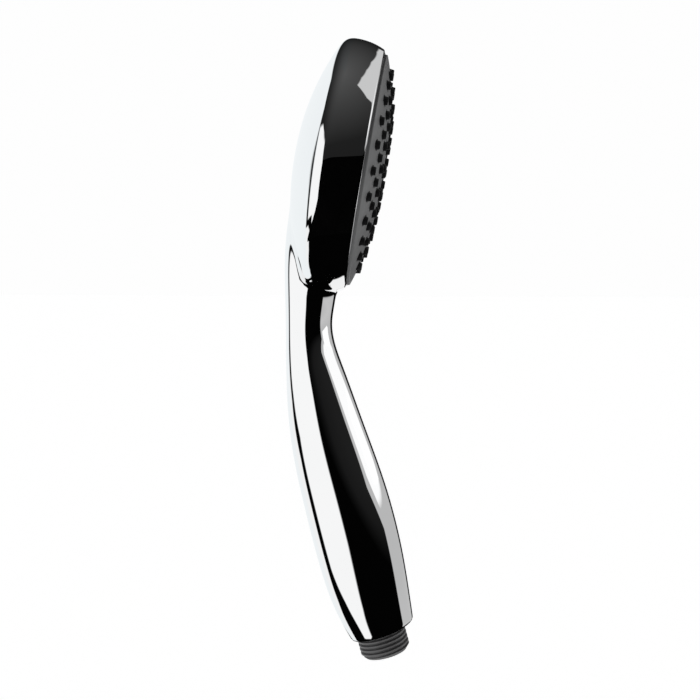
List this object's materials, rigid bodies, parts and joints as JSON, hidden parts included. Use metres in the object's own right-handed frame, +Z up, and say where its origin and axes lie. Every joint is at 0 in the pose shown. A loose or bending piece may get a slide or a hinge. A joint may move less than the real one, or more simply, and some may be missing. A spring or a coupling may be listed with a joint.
{
  "type": "handheld shower head",
  "caption": "Chrome handheld shower head with a round spray face, rubber nozzles and a threaded hose inlet with a check valve.",
  "frame": {"origin": "centre of the flat end face of the threaded hose inlet", "axes": "+Z up with the handset upright, +X the way the spray leaves, the XZ plane splits the handset in half; the inlet's own axis leans 15 degrees back from +Z"},
  "size_m": [0.0535, 0.103, 0.2579],
  "materials": {
    "chrome": "polished chrome plating",
    "face_grey": "satin dark grey ABS",
    "silicone": "matt black silicone",
    "inlet_grey": "satin grey plastic",
    "white_plastic": "moulded natural acetal",
    "blue_plastic": "moulded blue acetal",
    "black_rubber": "matt black nitrile rubber",
    "stainless": "plain stainless steel"
  },
  "bodies": {
    "handset": {"body_shell": "chrome", "face_plate": "face_grey", "nozzle_mat": "silicone", "jet_plate": "white_plastic", "chamber_back": "white_plastic", "chamber_seal": "black_rubber", "chamber_screw_1": "stainless", "chamber_screw_2": "stainless", "chamber_screw_3": "stainless", "chamber_screw_4": "stainless", "chamber_screw_5": "stainless", "chamber_screw_6": "stainless", "waterway_tube": "white_plastic", "tube_seal_upper": "black_rubber", "tube_seal_lower": "black_rubber", "inlet_connector": "inlet_grey", "connector_seal": "black_rubber", "filter_screen": "stainless", "regulator_body": "blue_plastic", "regulator_ring": "black_rubber", "check_valve_body": "white_plastic", "check_valve_seal": "black_rubber", "check_valve_spring": "stainless", "check_valve_retainer": "white_plastic"},
    "poppet": {"check_valve_poppet": "blue_plastic", "poppet_seal": "black_rubber"}
  },
  "joints": [
    {"name": "check_valve_slide", "type": "slide", "parent": "handset", "child": "poppet", "axis": [-0.2588, 0, 0.9659], "range_m": [0, 0.0024], "stiffness_N_per_m": 60, "springref_m": -0.002, "deforming": ["check_valve_spring"]}
  ]
}
